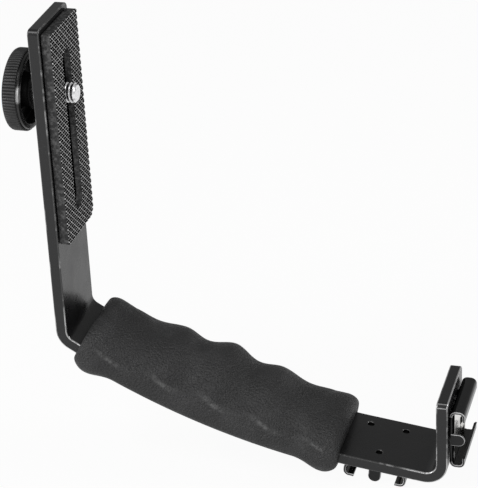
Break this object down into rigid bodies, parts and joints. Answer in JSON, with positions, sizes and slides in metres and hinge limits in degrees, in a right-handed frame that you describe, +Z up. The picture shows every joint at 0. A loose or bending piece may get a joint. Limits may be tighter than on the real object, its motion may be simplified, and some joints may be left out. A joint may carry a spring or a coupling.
{
  "type": "camera flash bracket",
  "caption": "C-shaped flash bracket: bowed flat bar with a padded, slotted camera arm, a captive knob screw, a moulded hand grip and accessory shoes at its far end.",
  "frame": {"origin": "middle of the bottom face of the bracket's bounding box", "axes": "+X from the camera arm to the end flange, +Y from the front edge of the bar to its back edge, where the shoes open, +Z up the camera arm"},
  "size_m": [0.1432, 0.0328, 0.1493],
  "materials": {
    "bar_paint": "semi-gloss black paint on steel",
    "shoe_paint": "gloss black paint on sheet steel",
    "pad_rubber": "black rubber with a fine diamond pattern",
    "grip_foam": "matte black moulded foam rubber with a fine leather grain",
    "knob_plastic": "satin black moulded plastic with a straight knurl",
    "screw_chrome": "bright chrome plate",
    "washer_nylon": "black nylon",
    "washer_steel": "black oxide steel",
    "spring_nickel": "bright nickel-plated spring steel",
    "fixing_steel": "blackened steel"
  },
  "bodies": {
    "bracket": {"bracket_bar": "bar_paint", "camera_pad": "pad_rubber", "grip_sleeve": "grip_foam", "lower_shoe": "shoe_paint", "lower_shoe_spring": "spring_nickel", "lower_shoe_screw_1": "fixing_steel", "lower_shoe_screw_2": "fixing_steel", "lower_shoe_screw_3": "fixing_steel", "upper_shoe": "shoe_paint", "upper_shoe_spring": "spring_nickel", "upper_shoe_screw_1": "fixing_steel", "upper_shoe_screw_2": "fixing_steel", "upper_shoe_screw_3": "fixing_steel"},
    "screw_guide": {"retaining_washer": "washer_nylon"},
    "screw_carrier": {"clamp_washer": "washer_steel"},
    "camera_screw_and_knob": {"camera_screw": "screw_chrome", "knob": "knob_plastic"}
  },
  "joints": [
    {"name": "slot_slide", "type": "slide", "parent": "bracket", "child": "screw_guide", "axis": [0, 0, 1], "range_m": [-0.03605, 0.01095]},
    {"name": "clamp_travel", "type": "slide", "parent": "screw_guide", "child": "screw_carrier", "axis": [1, 0, 0], "range_m": [-0.0014, 0.0036]},
    {"name": "knob_turn", "type": "hinge", "parent": "screw_carrier", "child": "camera_screw_and_knob", "pos_m": [-0.05743, 0, 0.12427], "axis": [1, 0, 0], "continuous": true}
  ]
}
